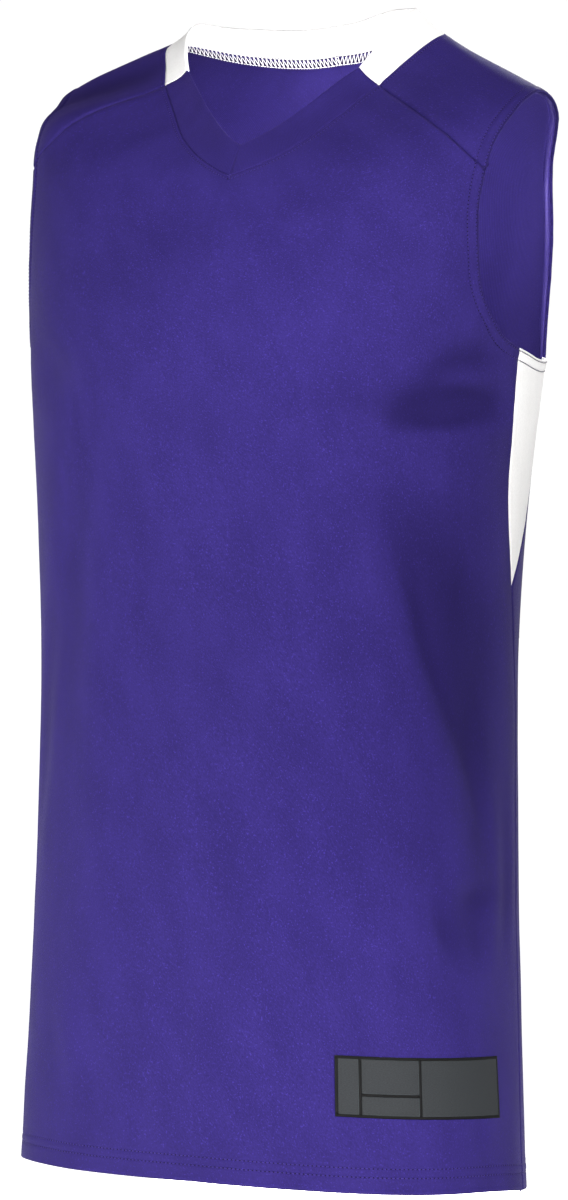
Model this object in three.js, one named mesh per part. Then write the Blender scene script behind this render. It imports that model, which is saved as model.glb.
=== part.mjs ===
// A sleeveless basketball jersey, filled out as it is when it is worn, with no wearer in it.
//
// Millimetres. +X is the wearer's left, -Y the front, +Z up. The origin is the middle of the line over both
// shoulders at the height where it meets the neck: there the shoulders carry the jersey.
//
// The cloth lies on one surface. A place on it has two numbers, as a paper pattern does: "along", how far up
// the cloth from the hem, and "turn", how far round the body in degrees, with -90 at the middle of the front,
// 0 at the side and 90 at the middle of the back. Each half of the jersey is the mirror of the other, apart
// from its folds and from how it is worn: under the right arm and on the right shoulder the cloth has slipped
// forward.
import * as THREE from 'three';

// Cloth
const LAYER = 1.2;            // one layer of double-knit polyester
const HEM = 2.4;              // a turned hem or a doubled band
const HALF_GAP = 0.15;        // each piece stands back this far from the middle of a seam
const BODY_HEM_DEPTH = 20;
const ARM_HEM_DEPTH = 9;
const HEM_STEP = 1.5;         // over this width a hem thins to one layer
const LABEL_GAP = 0.3;
const LABEL_THICK = 1.0;

// Rings round the body, from the hem to the top of the collar: where each one's side, front and back lie.
// Full is how much squarer than an ellipse the ring is between them.
const RINGS = [
  // along, side x, side y, side z, front y, front z, back y, back z, front full, back full
  [0, 184, 11, -790, -111, -790, 137, -790, 0.05, 0.03],
  [110, 178, 6, -680, -116, -680, 130, -680, 0.05, 0.03],
  [260, 173, 0, -530, -123, -530, 120, -530, 0.05, 0.03],
  [400, 174, -5, -390, -129, -392, 113, -388, 0.05, 0.02],
  [500, 180, -8, -290, -133, -296, 110, -285, 0.05, 0.04],
  [565, 185, -8, -225, -136, -240, 108, -215, 0.05, 0.07],
  [640, 192, -7, -148, -133, -183, 105, -145, 0.04, 0.08],
  [720, 195, 1, -66, -119, -134, 97, -97, 0.04, 0.06],
  [745, 189, 5, -46, -112, -120, 92, -82, 0.04, 0.05],
  [770, 168, 10, -32, -104, -106, 86, -66, 0.03, 0.04],
  [830, 102, 15, 1, -83, -74, 68, -28, -0.08, 0.01],
  [852, 85, 10, 15, -74, -60, 60, -10, -0.02, 0],
  [880, 66, 9, 34, -63, -37, 54, 16, 0, 0],
];

// Seams and edges of one half, as turn and along
const SIDE_SEAM = [[10, 0], [12, 110], [13, 260], [11.5, 333], [7, 375], [3.2, 411.6]];
const INSERT_FRONT = [[3.2, 411.6], [-1, 443], [-4, 470], [-5.4, 498], [-5.8, 525], [-6.6, 550], [-6.9, 574]];
const INSERT_BACK = [[3.2, 411.6], [11.5, 443], [17, 470], [21, 498], [24, 525], [26, 548], [27.5, 567.5]];
const ARM_UNDER = [[-6.9, 574], [4, 569], [16, 566.5], [27.5, 567.5]];
const ARM_FRONT = [[-6.9, 574], [-15.3, 582], [-21.3, 596], [-25.9, 614], [-28.5, 638], [-29.9, 657],
  [-30.9, 681], [-30.3, 702]];
const ARM_BACK = [[27.5, 567.5], [31.2, 585], [33.2, 612], [34.5, 640], [36, 665], [37, 690], [35.5, 714],
  [28.5, 735], [16, 749], [3, 756], [-10, 752], [-21, 741.5], [-27.6, 726], [-30.3, 702]];
const SHOULDER_SEAM = [[-40, 815], [-40.4, 790], [-41, 764], [-38.4, 735], [-30.3, 702]];
const NECK_FRONT = [[-90, 772], [-80, 789], [-72, 799], [-62, 807.5], [-52, 812.5], [-40, 815]];
const NECK_BACK = [[90, 850], [60, 846], [30, 839], [0, 830], [-20, 822.5], [-40, 815]];
const EDGE_FRONT = [[-90, 814], [-80, 829], [-70, 838], [-60, 841.5], [-50, 841.5], [-41.5, 839]];
const EDGE_BACK = [[90, 872], [60, 869], [30, 864], [0, 857], [-20, 850], [-41.5, 839]];

// The largest folds. Each runs straight from one place to another on the cloth and fades at both ends.
// Side is 1 on the wearer's left and -1 on the right. A positive rise is a ridge and a negative one a trough.
const FOLDS = [
  // side, turn, along, to turn, to along, half width, rise
  [1, -48, 531, -8, 536, 19, -4.5],
  [1, -42, 552, -8, 562, 13, -2.5],
  [1, -58, 500, -24, 215, 16, 3.5],
  [1, -50, 460, -16, 225, 12, -2],
  [1, -27, 214, -3, 195, 15, -3],
  [1, -38, 205, -24, 135, 14, -2.5],
  [-1, -52, 556, -18, 548, 20, -4],
  [-1, -50, 520, -45, 250, 24, -2.5],
  [-1, -63, 400, -63, 50, 24, 2],
  [-1, -52, 128, -60, 45, 14, 2],
  [1, 34, 560, 64, 545, 18, -4],
  [1, 32, 440, 54, 190, 17, 3.5],
  [1, 62, 150, 66, 20, 17, 3],
  [-1, 30, 556, 60, 547, 19, -4],
  [-1, 38, 435, 52, 200, 17, -3.5],
  [-1, 68, 165, 73, 12, 17, 3],
];
const MM_PER_DEGREE = 2.7;    // cloth round the body, for measuring across a fold
const FOLD_REACH = 2;         // a fold ends at this many half widths from its middle

// How far the cloth has slipped forward under the right arm, in degrees of turn, from where along the cloth
// it has its full value and where it fades out.
const ARM_SLIP = 19;
const ARM_SLIP_FULL = 540;
const ARM_SLIP_END = 583;
const ARM_SLIP_FADE = 14;

// How far it has slipped down along the cloth in front of the right shoulder, the place of the most and how
// far that reaches each way.
const SHOULDER_SLIP = 9;
const SHOULDER_SLIP_PLACE = [-46, 755];
const SHOULDER_SLIP_REACH = [14, 30];

// Rows and columns of the panels' faces
const LOW_ROWS = [0, BODY_HEM_DEPTH, BODY_HEM_DEPTH + HEM_STEP, 52, 72, 92];
const SIDE_ROWS = [...LOW_ROWS, 122, 154, 186, 218, 250, 282, 314, 346, 379, 411.6];
const LABEL_ROWS = [3, 5];
const COLUMNS = [0, 0.113, 0.227, 0.34, 0.446, 0.552, 0.658, 0.764, 0.87, 0.935, 1];
const LABEL_COLUMNS = [3, 8];
const INSERT_ROWS = 9;
const ARM_FRONT_ROWS = 15;
const ARM_BACK_ROWS = 18;
const ARM_LEVEL = 540;        // the row that meets the foot of the armhole starts here on the middle line
const NECK_FRONT_ROWS = 8;
const NECK_BACK_ROWS = 10;
const INSERT_COLUMNS = 4;
const COLLAR_COLUMNS = 3;

// Colours and surfaces
const PURPLE = { color: 0x3b2c7e, roughness: 0.55, metalness: 0 };
const WHITE = { color: 0xefedec, roughness: 0.6, metalness: 0 };
const CHARCOAL = { color: 0x41464b, roughness: 0.75, metalness: 0 };

// A natural cubic spline through rows of values, one row for each knot.
class Spline {
  constructor(knots, rows) {
    this.knots = knots;
    this.rows = rows;
    this.bends = Spline.solve(knots, rows);
  }

  static solve(t, rows) {
    const last = t.length - 1;
    const bends = rows.map((row) => row.map(() => 0));
    const scale = t.map(() => 0);
    for (let i = 1; i < last; i++) {
      const before = t[i] - t[i - 1];
      const after = t[i + 1] - t[i];
      const pivot = 2 * (before + after) - before * scale[i - 1];
      scale[i] = after / pivot;
      bends[i] = rows[i].map((value, k) => {
        const kink = (rows[i + 1][k] - value) / after - (value - rows[i - 1][k]) / before;
        return (6 * kink - before * bends[i - 1][k]) / pivot;
      });
    }
    for (let i = last - 1; i > 0; i--) {
      bends[i] = bends[i].map((value, k) => value - scale[i] * bends[i + 1][k]);
    }
    return bends;
  }

  at(t) {
    let i = 0;
    while (i < this.knots.length - 2 && t > this.knots[i + 1]) i++;
    const step = this.knots[i + 1] - this.knots[i];
    const a = (this.knots[i + 1] - t) / step;
    const b = 1 - a;
    return this.rows[i].map((value, k) => a * value + b * this.rows[i + 1][k]
      + ((a ** 3 - a) * this.bends[i][k] + (b ** 3 - b) * this.bends[i + 1][k]) * step * step / 6);
  }
}

// A smooth seam through places on the cloth, read from 0 at its start to 1 at its end.
class Seam {
  constructor(places) {
    const lengths = [0];
    for (let i = 1; i < places.length; i++) {
      const across = (places[i][0] - places[i - 1][0]) * MM_PER_DEGREE;
      lengths.push(lengths[i - 1] + Math.hypot(across, places[i][1] - places[i - 1][1]));
    }
    this.length = lengths[lengths.length - 1];
    this.spline = new Spline(lengths, places);
  }

  at(share) {
    return this.spline.at(share * this.length);
  }

  split(count) {
    return Array.from({ length: count + 1 }, (_, i) => this.at(i / count));
  }
}

const rings = new Spline(RINGS.map((row) => row[0]), RINGS.map((row) => row.slice(1)));

function ringPoint(turn, along) {
  const [sideX, sideY, sideZ, frontY, frontZ, backY, backZ, frontFull, backFull] = rings.at(along);
  const sin = Math.sin(THREE.MathUtils.degToRad(turn));
  const cos = Math.cos(THREE.MathUtils.degToRad(turn));
  const [endY, endZ, full] = sin < 0 ? [frontY, frontZ, frontFull] : [backY, backZ, backFull];
  const square = 1 + full * (2 * sin * cos) ** 2;
  return new THREE.Vector3(
    sideX * cos * square,
    sideY + (endY - sideY) * Math.abs(sin) * square,
    sideZ + (endZ - sideZ) * sin ** 2,
  );
}

function ringNormal(turn, along) {
  const step = 0.5;
  const round = ringPoint(turn + step, along).sub(ringPoint(turn - step, along));
  const up = ringPoint(turn, along + step).sub(ringPoint(turn, along - step));
  return round.cross(up).normalize();
}

function foldRise(turn, along, side) {
  let rise = 0;
  for (const [foldSide, turn0, along0, turn1, along1, halfWidth, height] of FOLDS) {
    const run = new THREE.Vector2((turn1 - turn0) * MM_PER_DEGREE, along1 - along0);
    const place = new THREE.Vector2((turn - turn0) * MM_PER_DEGREE, along - along0);
    const share = place.dot(run) / run.lengthSq();
    const across = place.cross(run) / run.length() / halfWidth / FOLD_REACH;
    if (foldSide === side && share > 0 && share < 1 && Math.abs(across) < 1) {
      rise += height * (1 - across ** 2) ** 3 * Math.sin(Math.PI * share) ** 2;
    }
  }
  return rise;
}

// Where on the figure a place of the right half of the cloth has slipped to.
function slipped(turn, along) {
  const low = THREE.MathUtils.smoothstep(along, 0, ARM_SLIP_FULL);
  const high = (1 - Math.tanh((along - ARM_SLIP_END) / ARM_SLIP_FADE)) / 2;
  const round = ARM_SLIP * low * high * Math.cos(THREE.MathUtils.degToRad(turn)) ** 2;
  const away = Math.hypot(
    (turn - SHOULDER_SLIP_PLACE[0]) / SHOULDER_SLIP_REACH[0],
    (along - SHOULDER_SLIP_PLACE[1]) / SHOULDER_SLIP_REACH[1],
  );
  return [turn - round, along - SHOULDER_SLIP * Math.exp(-(away ** 2))];
}

// A place on the cloth of one side, with the outward direction there.
function clothPoint([turn, along], side) {
  const place = side < 0 ? slipped(turn, along) : [turn, along];
  const normal = ringNormal(...place);
  const point = ringPoint(...place).addScaledVector(normal, foldRise(turn, along, side));
  point.x *= side;
  normal.x *= side;
  return { point, normal };
}

// A sheet of cloth: corners with their outward directions and thickness, and three-cornered faces. Corners
// at the same place are one corner, so grids that share an edge are joined there.
class Sheet {
  constructor() {
    this.corners = [];
    this.faces = [];
    this.byPlace = new Map();
  }

  corner(place, side, thick) {
    const { point, normal } = clothPoint(place, side);
    const key = point.toArray().map((value) => Math.round(value * 1000)).join();
    if (!this.byPlace.has(key)) {
      this.byPlace.set(key, this.corners.length);
      this.corners.push({ point, normal, thick });
    }
    return this.byPlace.get(key);
  }

  // The grid's rows go up the cloth and its columns the way that turn grows, or the other way.
  addGrid(grid, side, thickAt) {
    const ids = grid.map((row, i) => row.map((place, j) => this.corner(place, side, thickAt(i, j))));
    const forward = (grid[0][0][0] + grid[1][0][0] < grid[0].at(-1)[0] + grid[1].at(-1)[0]) === (side > 0);
    for (let i = 0; i + 1 < ids.length; i++) {
      for (let j = 0; j + 1 < ids[i].length; j++) {
        const [a, b, c, d] = [ids[i][j], ids[i][j + 1], ids[i + 1][j + 1], ids[i + 1][j]];
        const [atA, atB, atC, atD] = [a, b, c, d].map((id) => this.corners[id].point);
        const shortAC = atA.distanceTo(atC) < atB.distanceTo(atD);
        const halves = shortAC ? [[a, b, c], [a, c, d]] : [[a, b, d], [b, c, d]];
        for (const half of halves) {
          if (new Set(half).size === 3) this.faces.push(forward ? half : half.reverse());
        }
      }
    }
    return ids;
  }

  // Directed edges that only one face has, as a map from each corner to the next.
  rim() {
    const edges = new Set(this.faces.flatMap(([a, b, c]) => [`${a},${b}`, `${b},${c}`, `${c},${a}`]));
    const next = new Map();
    for (const edge of edges) {
      const [a, b] = edge.split(',').map(Number);
      if (!edges.has(`${b},${a}`)) next.set(a, b);
    }
    return next;
  }

  // Draw the rim in by half of a seam's gap.
  drawIn(next) {
    const inward = new Map();
    for (const [a, b] of next) {
      const run = this.corners[b].point.clone().sub(this.corners[a].point);
      const step = this.corners[a].normal.clone().cross(run).normalize();
      for (const id of [a, b]) inward.set(id, [...(inward.get(id) ?? []), step]);
    }
    for (const [id, [first, second]] of inward) {
      const middle = first.clone().add(second).normalize();
      const sharpness = Math.max(middle.dot(first), 0.2);
      this.corners[id].point.addScaledVector(middle, HALF_GAP / sharpness);
    }
  }

  // The closed wall between the outer face, moved out by lift, and the inner one.
  wall(lift = 0) {
    const next = this.rim();
    if (lift === 0) this.drawIn(next);
    const count = this.corners.length;
    const outer = this.corners.map(({ point, normal }) => point.clone().addScaledVector(normal, lift));
    const inner = this.corners.map(({ normal, thick }, i) => outer[i].clone().addScaledVector(normal, -thick));
    const index = this.faces.flatMap(([a, b, c]) => [a, b, c, a + count, c + count, b + count]);
    for (const [a, b] of next) index.push(a, a + count, b + count, a, b + count, b);
    const geometry = new THREE.BufferGeometry();
    geometry.setAttribute('position', new THREE.Float32BufferAttribute(
      [...outer, ...inner].flatMap((point) => point.toArray()), 3));
    geometry.setIndex(index);
    geometry.computeVertexNormals();
    return geometry;
  }
}

function between(from, to, share) {
  return from.map((value, i) => value + (to[i] - value) * share);
}

// Half of a body panel: rows from the middle line, left, to the outer edge, right, and a bent top edge.
function panelGrid(left, right, top) {
  const last = left.length - 1;
  return left.map((start, i) => {
    const from = clothPoint(start, 1).point;
    const width = from.distanceTo(clothPoint(right[i], 1).point) * 1.05;
    const hem = ARM_HEM_DEPTH / width;
    const shares = [...COLUMNS.map((share) => share * (1 - hem)), 1];
    const bend = (i / last) ** 8;
    return shares.map((share) => {
      const place = between(start, right[i], share);
      const seam = top.at(share);
      const chord = between(left[last], right[last], share);
      return place.map((value, k) => value + bend * (seam[k] - chord[k]));
    });
  });
}

function evenSteps(from, to, count) {
  return Array.from({ length: count }, (_, i) => from + (to - from) * (i + 1) / count);
}

// Up the middle line of a panel: so many rows to the foot of the armhole, and the rest to the neck.
function middleRows(turn, top, armStart, count) {
  const low = LOW_ROWS.at(-1);
  const middle = evenSteps(low, ARM_LEVEL, armStart - (LOW_ROWS.length - 1));
  const high = evenSteps(ARM_LEVEL, top, count - armStart);
  return [...LOW_ROWS, ...middle, ...high].map((along) => [turn, along]);
}

const sideSeam = new Spline(SIDE_SEAM.map((row) => row[1]), SIDE_SEAM.map((row) => [row[0]]));
const sideRows = SIDE_ROWS.map((along) => [sideSeam.at(along)[0], along]);
const insertFront = new Seam(INSERT_FRONT).split(INSERT_ROWS);
const insertBack = new Seam(INSERT_BACK).split(INSERT_ROWS);
const armFront = new Seam(ARM_FRONT).split(ARM_FRONT_ROWS);
const armBack = new Seam(ARM_BACK).split(ARM_BACK_ROWS);
const shoulder = new Seam(SHOULDER_SEAM);
const neckFront = new Seam(NECK_FRONT).split(NECK_FRONT_ROWS);
const neckBack = new Seam(NECK_BACK).split(NECK_BACK_ROWS);
const edgeFront = new Seam(EDGE_FRONT).split(NECK_FRONT_ROWS);
const edgeBack = new Seam(EDGE_BACK).split(NECK_BACK_ROWS);

// Up the outer edge of a panel: side seam, insert, then armhole.
function outerEdge(insert, arm) {
  return [...sideRows, ...insert.slice(1), ...arm.slice(1)];
}

function bodyPanel(middleTurn, neck, insert, arm) {
  const right = outerEdge(insert, arm);
  const armStart = sideRows.length - 1 + INSERT_ROWS;
  const middle = middleRows(middleTurn, neck[0][1], armStart, right.length - neck.length);
  const grid = panelGrid([...middle, ...neck.slice(1)], right, shoulder);
  const thickAt = (i, j) => (i <= 1 || (i >= armStart && j >= COLUMNS.length - 1) ? HEM : LAYER);
  const sheet = new Sheet();
  for (const side of [1, -1]) sheet.addGrid(grid, side, thickAt);
  return { sheet, grid };
}

function sideInsert(side) {
  const top = new Seam(ARM_UNDER).split(INSERT_COLUMNS);
  const grid = insertFront.map((start, i) => {
    const bend = (i / INSERT_ROWS) ** 3;
    return top.map((place, j) => {
      const share = j / INSERT_COLUMNS;
      const chord = between(top[0], top.at(-1), share);
      return between(start, insertBack[i], share).map((value, k) => value + bend * (place[k] - chord[k]));
    });
  });
  const sheet = new Sheet();
  sheet.addGrid(grid, side, (i) => (i === INSERT_ROWS ? HEM : LAYER));
  return sheet;
}

// A doubled band from the neck seam to the neck's edge.
function band(seam, edge, sides) {
  const shares = Array.from({ length: COLLAR_COLUMNS + 1 }, (_, i) => i / COLLAR_COLUMNS);
  const grid = shares.map((share) => seam.map((place, j) => between(place, edge[j], share)));
  const sheet = new Sheet();
  for (const side of sides) sheet.addGrid(grid, side, () => HEM);
  return sheet;
}

// The label lies on the panel's own corners, moved out.
function label(grid) {
  const rows = grid.slice(LABEL_ROWS[0], LABEL_ROWS[1] + 1);
  const sheet = new Sheet();
  sheet.addGrid(rows.map((row) => row.slice(LABEL_COLUMNS[0], LABEL_COLUMNS[1] + 1)), 1, () => LABEL_THICK);
  return sheet.wall(LABEL_GAP + LABEL_THICK);
}

const jersey = new THREE.Group();

function add(name, geometry, look) {
  const mesh = new THREE.Mesh(geometry, new THREE.MeshStandardMaterial(look));
  mesh.name = name;
  jersey.add(mesh);
}

const front = bodyPanel(-90, neckFront, insertFront, armFront);
const back = bodyPanel(90, neckBack, insertBack, armBack);
add('hem_label', label(front.grid), CHARCOAL);
add('front_panel', front.sheet.wall(), PURPLE);
add('back_panel', back.sheet.wall(), PURPLE);
for (const [name, side] of [['left', 1], ['right', -1]]) {
  add(`side_insert_${name}`, sideInsert(side).wall(), WHITE);
  add(`collar_front_${name}`, band(neckFront, edgeFront, [side]).wall(), PURPLE);
}
add('collar_back', band(neckBack, edgeBack, [1, -1]).wall(), WHITE);

export default jersey;
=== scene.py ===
"""A sleeveless basketball jersey, filled out as it is when it is worn, with no wearer in it.

The cloth lies on one surface, the same as in the solids that it covers. A place on it has two numbers: along,
how many millimetres up the cloth from the hem, and turn, how many degrees round the body, with -90 at the
middle of the front, 0 at the side and 90 at the middle of the back. Shapes are worked out in millimetres and
made in metres. +X is the wearer's left, -Y the front, +Z up.
"""
import math

import bpy
import numpy as np
from mathutils import Matrix, Vector
from mathutils.bvhtree import BVHTree


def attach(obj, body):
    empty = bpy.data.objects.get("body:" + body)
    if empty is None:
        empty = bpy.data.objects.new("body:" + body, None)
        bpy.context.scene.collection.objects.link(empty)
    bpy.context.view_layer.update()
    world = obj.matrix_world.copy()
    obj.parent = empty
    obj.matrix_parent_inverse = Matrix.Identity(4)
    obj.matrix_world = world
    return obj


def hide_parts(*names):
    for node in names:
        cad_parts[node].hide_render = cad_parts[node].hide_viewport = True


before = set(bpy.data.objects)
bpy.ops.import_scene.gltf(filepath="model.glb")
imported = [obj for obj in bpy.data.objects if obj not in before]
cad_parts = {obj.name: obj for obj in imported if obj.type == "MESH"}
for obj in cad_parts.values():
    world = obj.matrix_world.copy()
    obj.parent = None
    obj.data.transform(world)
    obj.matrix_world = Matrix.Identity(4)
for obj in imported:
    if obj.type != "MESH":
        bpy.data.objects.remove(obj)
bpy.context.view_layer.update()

MM = 0.001

# Cloth
LAYER = 0.9                   # one layer of double knit
DOUBLE = 1.8                  # a turned hem or a doubled band
BODY_HEM = 20.0
ARM_HEM = 9.0
SEAM_GAP = 0.06               # each piece stands back this far from the middle of a seam
ALLOWANCE = 2.4               # how deep the pieces turn in at a seam
MM_PER_DEGREE = 2.7

# Rows of machine stitches, by their distance from the edge or seam that they follow
BODY_HEM_ROWS = (11.5, 17.5)
ARM_HEM_ROWS = (1.8, 8.0)
NECK_ROW = 2.7
INSERT_HEM_ROWS = (2.2, 8.6)

# The trough that runs along the back edge of an armhole, and its distance from that edge
ARM_HOLLOW = 1.0
ARM_HOLLOW_PLACE = 15.0

# Rings round the body, from the hem to the top of the collar. Full is how much squarer than an ellipse.
RINGS = np.array([
    # along, side x, side y, side z, front y, front z, back y, back z, front full, back full
    [0, 184, 11, -790, -111, -790, 137, -790, 0.05, 0.03],
    [110, 178, 6, -680, -116, -680, 130, -680, 0.05, 0.03],
    [260, 173, 0, -530, -123, -530, 120, -530, 0.05, 0.03],
    [400, 174, -5, -390, -129, -392, 113, -388, 0.05, 0.02],
    [500, 180, -8, -290, -133, -296, 110, -285, 0.05, 0.04],
    [565, 185, -8, -225, -136, -240, 108, -215, 0.05, 0.07],
    [640, 192, -7, -148, -133, -183, 105, -145, 0.04, 0.08],
    [720, 195, 1, -66, -119, -134, 97, -97, 0.04, 0.06],
    [745, 189, 5, -46, -112, -120, 92, -82, 0.04, 0.05],
    [770, 168, 10, -32, -104, -106, 86, -66, 0.03, 0.04],
    [830, 102, 15, 1, -83, -74, 68, -28, -0.08, 0.01],
    [852, 85, 10, 15, -74, -60, 60, -10, -0.02, 0],
    [880, 66, 9, 34, -63, -37, 54, 16, 0, 0],
])

# Seams and edges of one half, as turn and along
SIDE_SEAM = [(10, 0), (12, 110), (13, 260), (11.5, 333), (7, 375), (3.2, 411.6)]
INSERT_FRONT = [(3.2, 411.6), (-1, 443), (-4, 470), (-5.4, 498), (-5.8, 525), (-6.6, 550), (-6.9, 574)]
INSERT_BACK = [(3.2, 411.6), (11.5, 443), (17, 470), (21, 498), (24, 525), (26, 548), (27.5, 567.5)]
ARM_UNDER = [(-6.9, 574), (4, 569), (16, 566.5), (27.5, 567.5)]
ARM_FRONT = [(-6.9, 574), (-15.3, 582), (-21.3, 596), (-25.9, 614), (-28.5, 638), (-29.9, 657),
             (-30.9, 681), (-30.3, 702)]
ARM_BACK = [(27.5, 567.5), (31.2, 585), (33.2, 612), (34.5, 640), (36, 665), (37, 690), (35.5, 714), (28.5, 735),
            (16, 749), (3, 756), (-10, 752), (-21, 741.5), (-27.6, 726), (-30.3, 702)]
SHOULDER_SEAM = [(-40, 815), (-40.4, 790), (-41, 764), (-38.4, 735), (-30.3, 702)]
NECK_FRONT = [(-90, 772), (-80, 789), (-72, 799), (-62, 807.5), (-52, 812.5), (-40, 815)]
NECK_BACK = [(90, 850), (60, 846), (30, 839), (0, 830), (-20, 822.5), (-40, 815)]
EDGE_FRONT = [(-90, 814), (-80, 829), (-70, 838), (-60, 841.5), (-50, 841.5), (-41.5, 839)]
EDGE_BACK = [(90, 872), (60, 869), (30, 864), (0, 857), (-20, 850), (-41.5, 839)]

# Creases, each through three places on the cloth. Side is 1 on the wearer's left and -1 on the right. A
# positive rise is a ridge and a negative one a trough, which the knit looks darken with painted shade.
# Lean makes one flank steeper than the other.
CREASES = [
    # side, start, middle, end, half width, rise, lean
    (1, (-45, 550), (-30, 569), (-8, 567), 12, -4.2, 0.0),
    (1, (-41, 551), (-26, 553), (-8, 545), 8, 2.2, 0.0),
    (1, (-60, 527), (-32, 532), (-4, 534), 18, -8.0, 0.3),
    (1, (-67, 557), (-58, 540), (-49, 539), 11, -2.4, 0.0),
    (1, (-50, 500), (-30, 496), (-9, 508), 22, 1.6, 0.0),
    (1, (-62, 545), (-49, 508), (-39, 462), 10, 1.6, 0.0),
    (1, (-63, 530), (-43, 395), (-20, 205), 12, 2.6, -0.3),
    (1, (-58, 510), (-38, 388), (-16, 200), 9, -2.0, 0.0),
    (1, (-45, 515), (-24, 370), (-4, 205), 38, -5.4, 0.0),
    (1, (-43, 375), (-26, 300), (-11, 216), 10, 2.4, -0.3),
    (1, (-23, 345), (-16, 265), (-9, 190), 15, -2.6, 0.0),
    (1, (-60, 478), (-56, 440), (-52, 398), 8, -1.3, 0.0),
    (1, (-26, 207), (-14, 199), (-1, 206), 10, -2.8, 0.0),
    (1, (-34, 216), (-30, 178), (-20, 138), 9, -2.8, 0.3),
    (1, (-27, 202), (-18, 178), (-9, 148), 18, -3.4, 0.0),
    (1, (-40, 210), (-37, 176), (-27, 134), 12, 1.8, 0.0),
    (1, (-47, 160), (-43, 145), (-39, 127), 6, -1.2, 0.0),
    (1, (-23, 46), (-18, 40), (-13, 36), 8, -1.3, 0.0),
    (1, (0, 300), (2, 210), (-3, 130), 10, -1.6, 0.0),
    (-1, (-43, 830), (-38.5, 765), (-29, 690), 12, 4.0, 0.0),
    (-1, (-34, 840), (-22, 776), (-10, 718), 19, -6.4, 0.0),
    (-1, (-75, 742), (-70, 650), (-52, 575), 34, -2.6, 0.0),
    (-1, (-52, 556), (-36, 554), (-18, 547), 17, -2.0, 0.0),
    (-1, (-50, 532), (-34, 528), (-16, 520), 15, 0.8, 0.0),
    (-1, (-52, 540), (-44, 400), (-45, 240), 22, -2.4, 0.0),
    (-1, (-62, 420), (-63, 240), (-63, 48), 24, 2.0, 0.0),
    (-1, (-33, 420), (-30, 310), (-26, 180), 13, -2.2, 0.0),
    (-1, (-50, 128), (-55, 92), (-60, 50), 11, 1.8, 0.0),
    (-1, (-75, 72), (-77, 45), (-79, 14), 8, -1.2, 0.0),
    (-1, (-86, 150), (-85, 100), (-83, 48), 13, -1.0, 0.0),
    (1, (34, 562), (48, 556), (64, 543), 14, -3.4, 0.0),
    (1, (35, 538), (48, 530), (60, 515), 13, 1.8, 0.0),
    (1, (30, 450), (40, 330), (54, 190), 14, 3.0, 0.3),
    (1, (38, 455), (50, 350), (66, 240), 11, -2.0, 0.0),
    (1, (60, 160), (64, 90), (66, 18), 14, 2.2, 0.0),
    (1, (30, 190), (34, 120), (30, 50), 12, -1.8, 0.0),
    (1, (84, 700), (78, 610), (66, 540), 26, -2.2, 0.0),
    (-1, (30, 556), (44, 556), (60, 547), 15, -3.2, 0.0),
    (-1, (32, 530), (45, 524), (57, 512), 13, 1.6, 0.0),
    (-1, (38, 440), (45, 320), (52, 190), 13, -2.6, 0.0),
    (-1, (30, 420), (38, 310), (40, 170), 13, 2.6, -0.3),
    (-1, (68, 170), (71, 90), (73, 12), 14, 2.2, 0.0),
    (-1, (58, 120), (59, 70), (57, 20), 10, -1.4, 0.0),
    (-1, (86, 720), (80, 640), (70, 560), 24, -1.8, 0.0),
]
CREASE_STEPS = 12
CREASE_REACH = 2.0            # a crease ends at this many half widths from its middle

# How far the cloth has slipped forward under the right arm and down in front of the right shoulder
ARM_SLIP = 19.0
ARM_SLIP_FULL = 540.0
ARM_SLIP_END = 583.0
ARM_SLIP_FADE = 14.0
SHOULDER_SLIP = 9.0
SHOULDER_SLIP_PLACE = (-46.0, 755.0)
SHOULDER_SLIP_REACH = (14.0, 30.0)

# How far the collar and the hem stand over or under an even ring. The right shoulder hangs lower than the left.
COLLAR_TILT = [
    # degrees from the middle of the back to the wearer's left, width, rise
    (35, 28, 8.0),
    (-75, 42, -11.0),
    (0, 25, 1.5),
]
COLLAR_TILT_RANGE = (805.0, 858.0)
HEM_CORNERS = [
    # side, turn, width, drop
    (1, 22, 26, 6.0),
    (1, -50, 45, 2.3),
    (-1, -50, 45, 2.3),
    (-1, -20, 14, 3.0),
]
HEM_CORNER_TOP = 110.0


def smooth(low, high, value):
    """0 below low, 1 above high and an even S between them."""
    share = np.clip((value - low) / (high - low), 0, 1)
    return share * share * (3 - 2 * share)


def bump(value, middle, width):
    """A round bump, 1 at the middle."""
    return np.exp(-((value - middle) / width) ** 2)


def unit(vectors):
    return vectors / np.maximum(np.linalg.norm(vectors, axis=-1, keepdims=True), 1e-9)


class Spline:
    """A natural cubic spline through rows of values, one row for each knot."""

    def __init__(self, knots, rows):
        self.knots = np.asarray(knots, float)
        self.rows = np.asarray(rows, float)
        step = np.diff(self.knots)
        matrix = np.eye(len(self.knots))
        kinks = np.zeros_like(self.rows)
        for i in range(1, len(step)):
            matrix[i, i - 1:i + 2] = step[i - 1], 2 * (step[i - 1] + step[i]), step[i]
            after = (self.rows[i + 1] - self.rows[i]) / step[i]
            before = (self.rows[i] - self.rows[i - 1]) / step[i - 1]
            kinks[i] = 6 * (after - before)
        self.bends = np.linalg.solve(matrix, kinks)

    def __call__(self, t):
        t = np.asarray(t, float)
        i = np.clip(np.searchsorted(self.knots, t, side="right") - 1, 0, len(self.knots) - 2)
        step = (self.knots[i + 1] - self.knots[i])[..., None]
        b = (t - self.knots[i])[..., None] / step
        a = 1 - b
        bend = (a ** 3 - a) * self.bends[i] + (b ** 3 - b) * self.bends[i + 1]
        return a * self.rows[i] + b * self.rows[i + 1] + bend * step ** 2 / 6


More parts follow.
